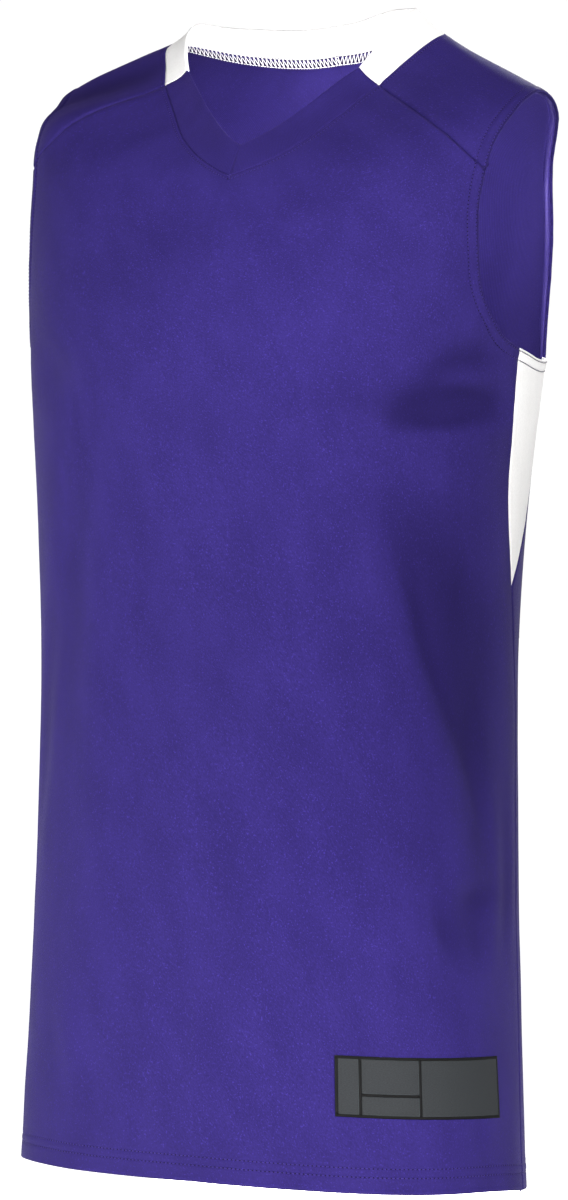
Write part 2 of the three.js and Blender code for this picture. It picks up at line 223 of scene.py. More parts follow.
class Seam:
    """A smooth seam through places on the cloth, read from 0 at its start to 1 at its end."""

    def __init__(self, places):
        places = np.array(places, float)
        steps = np.hypot(np.diff(places[:, 0]) * MM_PER_DEGREE, np.diff(places[:, 1]))
        lengths = np.concatenate([[0], np.cumsum(steps)])
        self.length = lengths[-1]
        self.spline = Spline(lengths, places)

    def __call__(self, share):
        return self.spline(np.asarray(share, float) * self.length)

    def split(self, count):
        return self(np.linspace(0, 1, count + 1))


rings = Spline(RINGS[:, 0], RINGS[:, 1:])


def ring_point(turn, along):
    side_x, side_y, side_z, front_y, front_z, back_y, back_z, front_full, back_full = np.moveaxis(rings(along), -1, 0)
    sin = np.sin(np.radians(turn))
    cos = np.cos(np.radians(turn))
    front = sin < 0
    end_y = np.where(front, front_y, back_y)
    end_z = np.where(front, front_z, back_z)
    square = 1 + np.where(front, front_full, back_full) * (2 * sin * cos) ** 2
    return np.stack([
        side_x * cos * square,
        side_y + (end_y - side_y) * np.abs(sin) * square,
        side_z + (end_z - side_z) * sin ** 2,
    ], axis=-1)


def ring_normal(turn, along, step=0.5):
    around = ring_point(turn + step, along) - ring_point(turn - step, along)
    up = ring_point(turn, along + step) - ring_point(turn, along - step)
    return unit(np.cross(around, up))


def slipped(turn, along):
    """Where on the figure a place of the right half of the cloth has slipped to."""
    low = smooth(0, ARM_SLIP_FULL, along)
    high = (1 - np.tanh((along - ARM_SLIP_END) / ARM_SLIP_FADE)) / 2
    around = ARM_SLIP * low * high * np.cos(np.radians(turn)) ** 2
    away = (((turn - SHOULDER_SLIP_PLACE[0]) / SHOULDER_SLIP_REACH[0]) ** 2
            + ((along - SHOULDER_SLIP_PLACE[1]) / SHOULDER_SLIP_REACH[1]) ** 2)
    return turn - around, along - SHOULDER_SLIP * np.exp(-away)


def lift(turn, along, side):
    """How much higher than on an even ring a place lies."""
    from_back = side * (90 - turn)
    rise = smooth(*COLLAR_TILT_RANGE, along) * sum(
        height * bump(from_back, middle, width) for middle, width, height in COLLAR_TILT)
    for corner_side, middle, width, drop in HEM_CORNERS:
        rise -= drop * (side == corner_side) * bump(turn, middle, width) * (1 - smooth(0, HEM_CORNER_TOP, along))
    return rise


def cloth_point(turn, along, side):
    """Places of the smooth cloth, with the outward directions there. Side is an array of 1 and -1."""
    slip_turn, slip_along = slipped(turn, along)
    rise = lift(turn, along, side)
    turn = np.where(side < 0, slip_turn, turn)
    along = np.where(side < 0, slip_along, along)
    mirror = np.stack([side, np.ones_like(side), np.ones_like(side)], axis=-1)
    points = ring_point(turn, along) * mirror
    points[..., 2] += rise
    return points, ring_normal(turn, along) * mirror


def nearest(points, line):
    """How far each point is from a line of points, and how far along it from 0 to 1, and on which side."""
    best = np.full(len(points), 1e9)
    share = np.zeros(len(points))
    hand = np.zeros(len(points))
    for i in range(len(line) - 1):
        run = line[i + 1] - line[i]
        place = points - line[i]
        t = np.clip(place @ run / (run @ run), 0, 1)
        off = place - t[:, None] * run
        far = np.linalg.norm(off, axis=1)
        closer = far < best
        best = np.where(closer, far, best)
        share = np.where(closer, (i + t) / (len(line) - 1), share)
        if len(run) == 2:
            hand = np.where(closer, np.sign(run[0] * place[:, 1] - run[1] * place[:, 0]), hand)
    return best, share, hand


def crease_rise(turn, along, side):
    """The rise of the cloth in the creases."""
    rise = np.zeros(len(turn))
    flat = np.stack([turn * MM_PER_DEGREE, along], axis=-1)
    t = np.linspace(0, 1, CREASE_STEPS + 1)[:, None]
    for crease_side, start, middle, end, half_width, height, lean in CREASES:
        start, middle, end = (np.array(place, float) * [MM_PER_DEGREE, 1] for place in (start, middle, end))
        pull = 2 * middle - (start + end) / 2
        line = (1 - t) ** 2 * start + 2 * t * (1 - t) * pull + t ** 2 * end
        reach = CREASE_REACH * half_width
        near = np.flatnonzero((side == crease_side)
                              & np.all(flat > line.min(axis=0) - reach, axis=1)
                              & np.all(flat < line.max(axis=0) + reach, axis=1))
        if len(near) == 0:
            continue
        far, share, hand = nearest(flat[near], line)
        across = np.clip(far / (reach * (1 + lean * hand)), 0, 1)
        fade = np.sin(np.pi * np.clip(share, 0, 1)) ** 1.5
        rise[near] += height * (1 - across ** 2) ** 3 * fade
    return rise


class Ripple:
    """Smooth noise over the cloth, about -1 to 1, in cells of about the given height."""

    def __init__(self, seed, cells_round, cell_height):
        self.table = np.random.default_rng(seed).uniform(-1, 1, (cells_round, 64))
        self.cells_round = cells_round
        self.cell_height = cell_height

    def __call__(self, turn, along, side):
        u = side * (turn + 90) / 360 * self.cells_round
        v = along / self.cell_height + 8
        i, j = np.floor(u).astype(int), np.floor(v).astype(int)
        a, b = smooth(0, 1, u - i), smooth(0, 1, v - j)
        corner = [[self.table[(i + k) % self.cells_round, (j + m) % 64] for m in (0, 1)] for k in (0, 1)]
        low = corner[0][0] * (1 - a) + corner[1][0] * a
        high = corner[0][1] * (1 - a) + corner[1][1] * a
        return low * (1 - b) + high * b


broad_ripple = Ripple(11, 13, 120)
fine_ripple = Ripple(12, 31, 46)
hem_ripple = Ripple(13, 24, 60)
pucker = Ripple(14, 150, 9)

side_seam = Spline([along for _, along in SIDE_SEAM], [[turn] for turn, _ in SIDE_SEAM])
insert_front = Seam(INSERT_FRONT)
insert_back = Seam(INSERT_BACK)
arm_under = Seam(ARM_UNDER)
arm_front = Seam(ARM_FRONT)
arm_back = Seam(ARM_BACK)
shoulder_seam = Seam(SHOULDER_SEAM)
neck_front = Seam(NECK_FRONT)
neck_back = Seam(NECK_BACK)
edge_front = Seam(EDGE_FRONT)
edge_back = Seam(EDGE_BACK)


def seam_line(places, side):
    """The points in space of places along a seam."""
    side = np.full(len(places), float(side))
    return cloth_point(places[:, 0], places[:, 1], side)[0]


SIDE_PLACES = np.stack([side_seam(np.linspace(0, 411.6, 42))[:, 0], np.linspace(0, 411.6, 42)], axis=-1)
EDGES = {
    "seam": [SIDE_PLACES, insert_front.split(18), insert_back.split(20), shoulder_seam.split(14)],
    "arm": [np.concatenate([arm_front.split(24)[::-1], arm_under.split(10)[1:], arm_back.split(40)[1:]])],
    "neck": [neck_front.split(24), neck_back.split(32)],
}


def edge_distance(kind, points, side):
    """How far each point is from the edges of one kind, on its own side."""
    best = np.full(len(points), 1e9)
    for places in EDGES[kind]:
        for hand in (1, -1):
            mine = np.flatnonzero(side == hand)
            if len(mine):
                best[mine] = np.minimum(best[mine], nearest(points[mine], seam_line(places, hand))[0])
    return best


def relief(turn, along, side, points):
    """How far the cloth rises over the smooth surface: creases, ripples, hems, seams and rows of stitches."""
    seam = edge_distance("seam", points, side)
    arm = edge_distance("arm", points, side)
    neck = edge_distance("neck", points, side)
    rise = crease_rise(turn, along, side)
    calm = smooth(0, 40, neck) * smooth(0, 30, arm)
    rise += 1.1 * calm * broad_ripple(turn, along, side)
    rise += 0.35 * calm * fine_ripple(turn, along, side)
    rise += 0.9 * (1 - smooth(0, 90, along)) * hem_ripple(turn, along, side)
    stitched = np.minimum.reduce([seam, arm + 2, neck, np.abs(along - 14)])
    rise += 0.22 * (1 - smooth(0, 9, stitched)) * pucker(turn, along, side)
    rise += 0.35 * (1 - smooth(BODY_HEM - 3, BODY_HEM + 2, along))
    rise -= sum(0.6 * bump(along, row, 1.0) for row in BODY_HEM_ROWS)
    rise += 0.6 * (1 - smooth(ARM_HEM - 1.5, ARM_HEM + 1, arm))
    rise -= ARM_HOLLOW * bump(arm, ARM_HOLLOW_PLACE, 11) * smooth(20, 34, turn)
    rise -= sum(depth * bump(arm, row, 1.1) for row, depth in zip(ARM_HEM_ROWS, (0.25, 0.9)))
    rise -= 0.4 * bump(neck, NECK_ROW, 0.9)
    rise -= 0.7 * (1 - smooth(0, 1.9, seam))
    rise -= 0.5 * (1 - smooth(0, 1.3, neck))
    return rise


class Shell:
    """A closed wall of cloth over grids of places, which are joined where they share corners."""

    def __init__(self):
        self.places = []
        self.sides = []
        self.quads = []
        self.count = 0

    def grid(self, places, side, reuse=None):
        """Rows go up the cloth. Reuse holds the ids of corners that an earlier grid made, and -1 for new ones."""
        ids = np.arange(self.count, self.count + places[..., 0].size).reshape(places.shape[:2])
        if reuse is not None:
            ids = np.where(reuse >= 0, reuse, ids)
        self.count += places[..., 0].size
        self.places.append(places.reshape(-1, 2))
        self.sides.append(np.full(places[..., 0].size, float(side)))
        quads = np.stack([ids[:-1, :-1], ids[:-1, 1:], ids[1:, 1:], ids[1:, :-1]], axis=-1).reshape(-1, 4)
        grows = places[0, -1, 0] + places[1, -1, 0] > places[0, 0, 0] + places[1, 0, 0]
        self.quads.append(quads if grows == (side > 0) else quads[:, ::-1])
        return ids

    def join(self):
        """Drops unused corners and works out the smooth surface under the rest."""
        quads = np.concatenate(self.quads)
        used, flat = np.unique(quads, return_inverse=True)
        self.quads = flat.reshape(-1, 4)
        places = np.concatenate(self.places)[used]
        self.turn, self.along = places.T
        self.side = np.concatenate(self.sides)[used]
        self.points, self.normals = cloth_point(self.turn, self.along, self.side)

    def rim(self):
        """The corners round the edge, as pairs of each one and the next."""
        quads = self.quads
        edges = np.concatenate([quads[:, [k, (k + 1) % 4]] for k in range(4)])
        edges = edges[edges[:, 0] != edges[:, 1]]
        key = edges[:, 0] * len(self.turn) + edges[:, 1]
        back = edges[:, 1] * len(self.turn) + edges[:, 0]
        return edges[~np.isin(key, back)]

    def face_normals(self, points):
        a, b, c, d = (points[self.quads[:, k]] for k in range(4))
        across = np.cross(c - a, d - b)
        total = np.zeros_like(points)
        for k in range(4):
            np.add.at(total, self.quads[:, k], across)
        return unit(total)


def make_mesh(name, points, faces, materials, indices=None, layers=None):
    """A smooth shaded mesh object from points in millimetres. Layers are named vectors of its points."""
    mesh = bpy.data.meshes.new(name)
    mesh.from_pydata((points * MM).tolist(), [], [list(face) for face in faces])
    for material in materials:
        mesh.materials.append(material)
    if indices is not None:
        mesh.polygons.foreach_set("material_index", np.asarray(indices, dtype=np.int32))
    mesh.polygons.foreach_set("use_smooth", np.ones(len(mesh.polygons), dtype=bool))
    for layer, values in (layers or {}).items():
        attribute = mesh.attributes.new(layer, "FLOAT_VECTOR", "POINT")
        attribute.data.foreach_set("vector", np.ascontiguousarray(values, dtype=np.float32).ravel())
    mesh.update()
    piece = bpy.data.objects.new(name, mesh)
    bpy.context.scene.collection.objects.link(piece)
    return piece


def tidy_quads(quads):
    """Faces without repeated corners."""
    faces = []
    for quad in quads.tolist():
        face = [corner for k, corner in enumerate(quad) if corner != quad[k - 1]]
        if len(set(face)) >= 3:
            faces.append(face)
    return faces


def cloth_piece(name, shell, thick, folded, materials):
    """The closed wall of one piece of cloth.

    Thick gives the wall's thickness at each corner, and folded how far its edge is a fold, from 0 at a seam,
    where the cloth turns in, to 1 at a hem, where it turns over.
    """
    shell.join()
    rise = relief(shell.turn, shell.along, shell.side, shell.points)
    outer = shell.points + shell.normals * rise[:, None]
    normals = shell.face_normals(outer)
    thick = thick(shell, rise)
    folded = folded(shell)

    rim = shell.rim()
    inward = np.zeros_like(outer)
    step = unit(np.cross(normals[rim[:, 0]], outer[rim[:, 1]] - outer[rim[:, 0]]))
    np.add.at(inward, rim[:, 0], step)
    np.add.at(inward, rim[:, 1], step)
    edge = np.unique(rim)
    first = np.zeros_like(outer)
    first[rim[:, 0]] = step
    inward = unit(inward)
    sharpness = np.maximum((inward * first).sum(axis=1), 0.35)[:, None]
    inward = inward / sharpness

    fold = folded[edge, None]
    radius = thick[edge, None] / 2
    out, into = normals[edge], inward[edge]
    top = outer[edge] + into * (fold * radius + (1 - fold) * SEAM_GAP)
    corner = 0.7071
    bent = [
        top - into * radius * corner - out * radius * (1 - corner),
        top - into * radius - out * radius,
        top - into * radius * corner - out * radius * (1 + corner),
    ]
    low = top - out * 2 * radius
    turned = [
        top - out * LAYER,
        top - out * ALLOWANCE + into * 0.1,
        top - out * ALLOWANCE + into * 0.8,
    ]
    low_seam = top - out * 2 * radius + into * 0.85
    outer[edge] = top
    inner = outer - normals * thick[:, None]
    inner[edge] = fold * low + (1 - fold) * low_seam
    strips = [fold * bent[k] + (1 - fold) * turned[k] for k in range(3)]

    count = len(outer)
    order = {corner: i for i, corner in enumerate(edge.tolist())}
    rows = [edge] + [2 * count + k * len(edge) + np.arange(len(edge)) for k in range(3)] + [edge + count]
    start = np.array([order[corner] for corner in rim[:, 0]])
    end = np.array([order[corner] for corner in rim[:, 1]])
    quads = [shell.quads, shell.quads[:, ::-1] + count]
    quads += [np.stack([low_row[end], low_row[start], high_row[start], high_row[end]], axis=-1)
              for low_row, high_row in zip(rows[:-1], rows[1:])]
    points = np.concatenate([outer, inner] + strips)
    whole = np.concatenate([np.arange(count)] * 2 + [edge] * 3)
    # The cloth layer also carries the rise, which the knit looks use to paint shade into deep troughs
    pattern = np.stack([shell.side * (shell.turn + 90) * MM_PER_DEGREE, shell.along, rise], axis=-1)[whole]
    faces, indices = [], []
    for part, group in enumerate(quads):
        kept = tidy_quads(group)
        faces += kept
        indices += [1 if part == 1 or part >= 4 else 0] * len(kept)
    piece = make_mesh(name, points, faces, materials, indices, {"cloth": pattern})
    piece["shell_corners"] = count
    return piece


# Rows and columns

def steps(low, high, size):
    """Even steps of about the given size from low to high, without low itself."""
    count = max(1, round((high - low) / size))
    return np.linspace(low, high, count + 1)[1:]


LOW_TOP = 92.0
LOW_ALONG = np.concatenate([[0], steps(0, 22, 1.1), steps(22, LOW_TOP, 3.2)])
ARM_LEVEL = 540.0             # the row that meets the foot of the armhole starts here on the middle line
ROW_STEP = 3.8
MIDDLE_STEP = 4.4
COLUMN_COUNT = 56
NECK_BAND = (6.0, 5)          # width and columns of the fine strip along the neck
ARM_BAND = (12.0, 11)         # and along the outer edge


def column_shares(width):
    """Shares across half a panel, finer along both of its edges. Width is one value for each row."""
    neck, neck_count = NECK_BAND
    arm, arm_count = ARM_BAND
    near = np.linspace(0, 1, neck_count + 1)[:-1]
    middle = np.linspace(0, 1, COLUMN_COUNT + 1)[:-1]
    far = np.linspace(0, 1, arm_count + 1)
    low = (neck / width)[:, None]
    high = 1 - (arm / width)[:, None]
    return np.concatenate([low * near, low + (high - low) * middle, high + (1 - high) * far], axis=1)


def half_panel(middle, outer, top):
    """The places of half a body panel, rows from the middle line to the outer edge."""
    ones = np.ones(len(middle))
    from_point = cloth_point(middle[:, 0], middle[:, 1], ones)[0]
    to_point = cloth_point(outer[:, 0], outer[:, 1], ones)[0]
    width = np.linalg.norm(from_point - to_point, axis=1) * 1.05
    share = column_shares(width)[..., None]
    places = middle[:, None] + (outer - middle)[:, None] * share
    bend = (np.linspace(0, 1, len(middle)) ** 8)[:, None, None]
    chord = middle[-1] + (outer[-1] - middle[-1]) * share
    return places + bend * (top(share[..., 0]) - chord)


def body_panel(name, middle_turn, neck, insert, arm, materials):
    side_along = np.concatenate([LOW_ALONG, steps(LOW_TOP, 411.6, ROW_STEP)])
    side_rows = np.stack([side_seam(side_along)[:, 0], side_along], axis=-1)
    insert_rows = insert.split(round(insert.length / ROW_STEP))[1:]
    neck_rows = neck.split(round(neck.length / MIDDLE_STEP))
    low_count = len(side_rows) + len(insert_rows) - len(LOW_ALONG)
    middle_along = np.concatenate([
        LOW_ALONG,
        np.linspace(LOW_TOP, ARM_LEVEL, low_count + 1)[1:],
        steps(ARM_LEVEL, neck_rows[0, 1], MIDDLE_STEP),
    ])
    middle = np.stack([np.full(len(middle_along), float(middle_turn)), middle_along], axis=-1)
    arm_count = len(middle) + len(neck_rows) - 1 - len(side_rows) - len(insert_rows)
    outer = np.concatenate([side_rows, insert_rows, arm.split(arm_count)[1:]])
    places = half_panel(np.concatenate([middle, neck_rows[1:]]), outer, shoulder_seam)

    shell = Shell()
    left = shell.grid(places, 1)
    reuse = np.full(left.shape, -1)
    reuse[:len(middle), 0] = left[:len(middle), 0]
    shell.grid(places, -1, reuse)

    def thick(shell, rise):
        arm_far = edge_distance("arm", shell.points, shell.side)
        double = np.maximum(1 - smooth(BODY_HEM - 0.5, BODY_HEM + 0.8, shell.along),
                            1 - smooth(ARM_HEM - 0.5, ARM_HEM + 0.8, arm_far))
        return LAYER + (DOUBLE - LAYER) * double

    def folded(shell):
        arm_far = edge_distance("arm", shell.points, shell.side)
        return np.maximum(shell.along < 0.5, arm_far < 0.4).astype(float)

    return cloth_piece(name, shell, thick, folded, materials)


def side_insert(name, side, materials):
    columns = 44
    rows = np.concatenate([[0], steps(0, 0.925, 1 / 46), steps(0.925, 1, 1 / 130)])
    share = np.linspace(0, 1, columns + 1)[:, None]
    front = insert_front(rows)[:, None]
    back = insert_back(rows)[:, None]
    top = arm_under(share[:, 0])
    chord = top[0] + (top[-1] - top[0]) * share
    places = front + (back - front) * share + (rows ** 3)[:, None, None] * (top - chord)
    places[0] = places[0, 0]
    shell = Shell()
    ids = shell.grid(places, side)
    point = np.full(ids.shape, -1)
    point[0] = ids[0, 0]
    shell = Shell()
    shell.grid(places, side, point)

    def thick(shell, rise):
        arm_far = edge_distance("arm", shell.points, shell.side)
        return LAYER + (DOUBLE - LAYER) * (1 - smooth(ARM_HEM - 0.5, ARM_HEM + 0.8, arm_far))

    def folded(shell):
        seam_far = edge_distance("seam", shell.points, shell.side)
        return ((edge_distance("arm", shell.points, shell.side) < 0.4) & (seam_far > 0.4)).astype(float)

    return cloth_piece(name, shell, thick, folded, materials)


def band(name, seam, edge, sides, materials, rows=16):
    """A doubled band from the neck seam to the folded edge of the neck."""
    columns = round(seam.length / 2.4)
    share = np.linspace(0, 1, rows + 1)[:, None, None]
    low = seam.split(columns)
    high = edge.split(columns)
    places = low + (high - low) * share
    shell = Shell()
    first = shell.grid(places, sides[0])
    if len(sides) == 2:
        reuse = np.full(first.shape, -1)
        reuse[:, 0] = first[:, 0]
        shell.grid(places, sides[1], reuse)
    top = seam_line(edge.split(60), sides[0])
    tops = [top] + [top * [-1, 1, 1]] * (len(sides) - 1)

    def thick(shell, rise):
        return np.full(len(shell.turn), DOUBLE)

    def folded(shell):
        far = np.minimum.reduce([nearest(shell.points, line)[0] for line in tops])
        return (far < 0.4).astype(float)

    return cloth_piece(name, shell, thick, folded, materials)


# Threads and tapes on the finished cloth

class Ground:
    """The finished pieces of cloth, for threads to lie on."""

    def __init__(self, pieces):
        points, faces = [], []
        for piece in pieces:
            mesh = piece.data
            places = np.empty(len(mesh.vertices) * 3)
            mesh.vertices.foreach_get("co", places)
            first = len(points)
            points += (places.reshape(-1, 3) / MM).tolist()
            faces += [[first + corner for corner in face.vertices] for face in mesh.polygons]
        self.tree = BVHTree.FromPolygons(points, faces)

    def lay(self, points, ways):
        """Drops points onto the cloth, from the side that their ways point to."""
        laid, up = points.copy(), ways.copy()
        for i, (point, way) in enumerate(zip(points, ways)):
            place, normal, _, _ = self.tree.ray_cast(Vector(point + way * DROP), Vector(-way), 2 * DROP)
            if place is not None:
                laid[i] = place
                up[i] = normal
        return laid, np.where((up * ways).sum(axis=1, keepdims=True) < 0, -up, up)


class Heap:
    """Many small closed bodies that are made as one mesh."""

    def __init__(self):
        self.points = []
        self.faces = []
        self.indices = []
        self.count = 0

    def add(self, points, faces, index=0):
        self.points.append(points)
        self.faces += (np.asarray(faces) + self.count).tolist()
        self.indices += [index] * len(faces)
        self.count += len(points)

    def tubes(self, paths, ups, radii, index=0, sides=5):
        """Round bars with closed ends. Paths holds rows of points, and radii one value for each step of a row."""
        count, length = paths.shape[:2]
        run = unit(np.gradient(paths, axis=1))
        across = unit(np.cross(run, ups))
        out = np.cross(across, run)
        angle = np.linspace(0, 2 * math.pi, sides, endpoint=False)[:, None]
        ring = across[:, :, None] * np.cos(angle) + out[:, :, None] * np.sin(angle)
        points = paths[:, :, None] + ring * np.asarray(radii)[:, None, None]
        start = np.arange(count)[:, None, None] * length * sides
        step = np.arange(length - 1)[None, :, None] * sides
        corner = np.arange(sides)
        low, high = start + step + corner, start + step + np.roll(corner, -1)
        walls = np.stack([low, high, high + sides, low + sides], axis=-1).reshape(-1, 4)
        first = self.count
        self.add(points.reshape(-1, 3), walls, index)
        for bar in range(count):
            base = first + bar * length * sides
            self.faces.append([base + k for k in reversed(range(sides))])
            self.faces.append([base + (length - 1) * sides + k for k in range(sides)])
            self.indices += [index, index]

    def make(self, name, materials, layers=None):
        return make_mesh(name, np.concatenate(self.points), self.faces, materials, self.indices, layers)


DROP = 12.0                   # how far off the cloth a thread starts before it is laid on it
STITCH = 3.0                  # one machine stitch
THREAD = 0.26                 # radius of a thread


def even_row(points, ways, pitch):
    """Places at an even pitch along a line of points."""
    lengths = np.concatenate([[0], np.cumsum(np.linalg.norm(np.diff(points, axis=0), axis=1))])
    at = np.linspace(0, lengths[-1], round(lengths[-1] / pitch) + 1)
    row = [np.stack([np.interp(at, lengths, values[:, k]) for k in range(3)], axis=-1) for values in (points, ways)]
    return row[0], unit(row[1])


def beside(places, side, distance, away_from=None):
    """The line at a distance from a seam or edge, on the side that lies away from a point.

    Without such a point it lies away from the middle of the hole that the edge goes round.
    """
    points, ways = cloth_point(places[:, 0], places[:, 1], np.full(len(places), float(side)))
    middle = points.mean(axis=0) if away_from is None else np.array(away_from)
    off = unit(np.cross(ways, unit(np.gradient(points, axis=0))))
    off *= np.sign(np.sum(off * (points - middle), axis=1, keepdims=True).sum())
    return points + off * distance, ways


def round_body(along):
    """The line round the whole body at one height, from the middle of the front by the left side."""
    half = np.stack([np.linspace(-90, 90, 120), np.full(120, float(along))], axis=-1)
    points, ways = cloth_point(half[:, 0], half[:, 1], np.ones(120))
    other_points, other_ways = cloth_point(half[:, 0], half[:, 1], -np.ones(120))
    return np.concatenate([points, other_points[::-1]]), np.concatenate([ways, other_ways[::-1]])


def stitch_row(heap, line, pitch=STITCH, radius=THREAD, arch=0.3, index=0, inside=False, gap=0.1, lift=0.0):
    """One stitch from each place of a row to the next, with both ends sunk in the cloth."""
    points, ways = even_row(*line, pitch)
    laid, up = ground.lay(points, -ways if inside else ways)
    share = np.linspace(gap, 1 - gap, 5)[None, :, None]
    height = arch * np.sin(np.pi * np.linspace(0, 1, 5))[None, :, None] - radius * 0.6 + lift
    up = unit(up[:-1] + up[1:])[:, None]
    paths = laid[:-1, None] * (1 - share) + laid[1:, None] * share + up * height
    heap.tubes(paths, np.broadcast_to(up, paths.shape), radius * np.array([0.6, 1, 1.15, 1, 0.6]), index)


def holes(heap, line, pitch=STITCH, radius=0.72, long=2.2, index=0):
    """Near-black beads sunk where the needle pulled the thread into the cloth: painted shade in the needle pits."""
    points, ways = even_row(*line, pitch)
    laid, up = ground.lay(points, ways)
    run = unit(np.gradient(laid, axis=0))
    share = np.linspace(-0.5, 0.5, 3)[None, :, None]
    paths = (laid - up * radius * 0.6)[:, None] + run[:, None] * share * long
    heap.tubes(paths, np.broadcast_to(up[:, None], paths.shape), radius * np.array([0.5, 1, 0.5]), index, 6)


def zigzag(heap, low, high, pitch, radius=THREAD, lifts=(0.15, 0.15), index=0, inside=True):
    """Thread that runs to and fro between two lines, and lies off the cloth by the lifts."""
    sides = []
    for line, lift in zip((low, high), lifts):
        points, ways = even_row(*line, pitch)
        laid, up = ground.lay(points, -ways if inside else ways)
        sides.append((laid + up * lift, up))
    count = min(len(sides[0][0]), len(sides[1][0]))
    (low_laid, low_up), (high_laid, high_up) = ([values[:count] for values in side] for side in sides)
    pairs = [(low_laid, high_laid, low_up + high_up), (high_laid[:-1], low_laid[1:], high_up[:-1] + low_up[1:])]
    share = np.linspace(0, 1, 4)[None, :, None]
    bow = 0.25 * np.sin(np.pi * np.linspace(0, 1, 4))[None, :, None]
    for start, end, up in pairs:
        up = unit(up)[:, None]
        paths = start[:, None] * (1 - share) + end[:, None] * share + up * bow
        heap.tubes(paths, np.broadcast_to(up, paths.shape), radius * np.ones(4), index, 4)


def tape(heap, low, high, pitch, thick, stand, index=0):
    """A strip of cloth on the inside between two lines. Its far edge stands off the cloth by the given height."""
    low_points, low_ways = even_row(*low, pitch)
    high_points, high_ways = even_row(*high, pitch)
    count = min(len(low_points), len(high_points))
    share = np.linspace(0, 1, 4)[None, :, None]
    points = low_points[:count, None] * (1 - share) + high_points[:count, None] * share
    ways = unit(low_ways[:count, None] * (1 - share) + high_ways[:count, None] * share)
    laid, up = ground.lay(points.reshape(-1, 3), -ways.reshape(-1, 3))
    laid, up = laid.reshape(points.shape), up.reshape(points.shape)
    off = 0.05 + stand * share ** 2
    under, over = laid + up * off, laid + up * (off + thick)
    section = np.concatenate([under, over[:, ::-1]], axis=1)
    ring = section.shape[1]
    corner = np.arange(ring)
    start = np.arange(count - 1)[:, None] * ring
    low_ids, high_ids = start + corner, start + np.roll(corner, -1)
    walls = np.stack([low_ids, high_ids, high_ids + ring, low_ids + ring], axis=-1).reshape(-1, 4)
    first = heap.count
    heap.add(section.reshape(-1, 3), walls, index)
    heap.faces.append([first + k for k in reversed(range(ring))])
    heap.faces.append([first + (count - 1) * ring + k for k in range(ring)])
    heap.indices += [index, index]


# Materials

class Look:
    """A material and short ways to add nodes to it."""

    def __init__(self, name, roughness, specular=0.5, tint=(1, 1, 1), sheen=0.0):
        self.material = bpy.data.materials.new(name)
        self.material.use_nodes = True
        self.nodes = self.material.node_tree.nodes
        self.links = self.material.node_tree.links
        self.shader = self.nodes["Principled BSDF"]
        self.set("Roughness", roughness)
        self.set("Specular IOR Level", specular)
        self.set("Specular Tint", (*tint, 1))
        self.set("Sheen Weight", sheen)
        self.set("Sheen Roughness", 0.4)
        self.set("Sheen Tint", (*tint, 1))

    def set(self, socket, value):
        self.shader.inputs[socket].default_value = value

    def feed(self, socket, value):
        if isinstance(value, bpy.types.NodeSocket):
            self.links.new(value, socket)
        else:
            socket.default_value = value

    def math(self, operation, *values):
        node = self.nodes.new("ShaderNodeMath")
        node.operation = operation
        for socket, value in zip(node.inputs, values):
            self.feed(socket, value)
        return node.outputs[0]

    def layer(self, name):
        node = self.nodes.new("ShaderNodeAttribute")
        node.attribute_name = name
        return node.outputs["Vector"]

    def split(self, vector):
        node = self.nodes.new("ShaderNodeSeparateXYZ")
        self.links.new(vector, node.inputs[0])
        return node.outputs

    def noise(self, vector, size, detail=2.0, turn=0.0):
        """Noise from 0 to 1 with grains of the given width and height."""
        mapping = self.nodes.new("ShaderNodeMapping")
        mapping.vector_type = "TEXTURE"
        mapping.inputs["Rotation"].default_value = (0, 0, turn)
        mapping.inputs["Scale"].default_value = (size[0], size[1], size[0])
        self.links.new(vector, mapping.inputs["Vector"])
        node = self.nodes.new("ShaderNodeTexNoise")
        node.inputs["Scale"].default_value = 1
        node.inputs["Detail"].default_value = detail
        self.links.new(mapping.outputs[0], node.inputs["Vector"])
        return node.outputs["Fac"]

    def ribs(self, value, pitch):
        """An even wave from -1 to 1."""
        return self.math("SINE", self.math("MULTIPLY", value, 2 * math.pi / pitch))

    def ramp(self, value, low, high, out_low=0.0, out_high=1.0):
        node = self.nodes.new("ShaderNodeMapRange")
        node.interpolation_type = "SMOOTHSTEP"
        for socket, number in zip(node.inputs, (value, low, high, out_low, out_high)):
            self.feed(socket, number)
        return node.outputs[0]

    def blend(self, share, first, second):
        node = self.nodes.new("ShaderNodeMix")
        node.data_type = "RGBA"
        self.feed(node.inputs["Factor"], share)
        for socket, color in zip([s for s in node.inputs if s.type == "RGBA"], (first, second)):
            self.feed(socket, color if isinstance(color, bpy.types.NodeSocket) else (*color, 1))
        return next(s for s in node.outputs if s.type == "RGBA")

    def color(self, value):
        self.links.new(value, self.shader.inputs["Base Color"])

    def rough(self, value):
        self.links.new(value, self.shader.inputs["Roughness"])

    def bump(self, height, distance):
        node = self.nodes.new("ShaderNodeBump")
        node.inputs["Distance"].default_value = distance * MM
        self.links.new(height, node.inputs["Height"])
        self.links.new(node.outputs[0], self.shader.inputs["Normal"])


WALE = 0.9                    # width of one column of loops
COURSE = 0.75                 # height of one row of loops
RIB = 1.25                    # pitch of the upright ribs inside


def shade(color, factor):
    return tuple(min(value * factor, 1.0) for value in color)


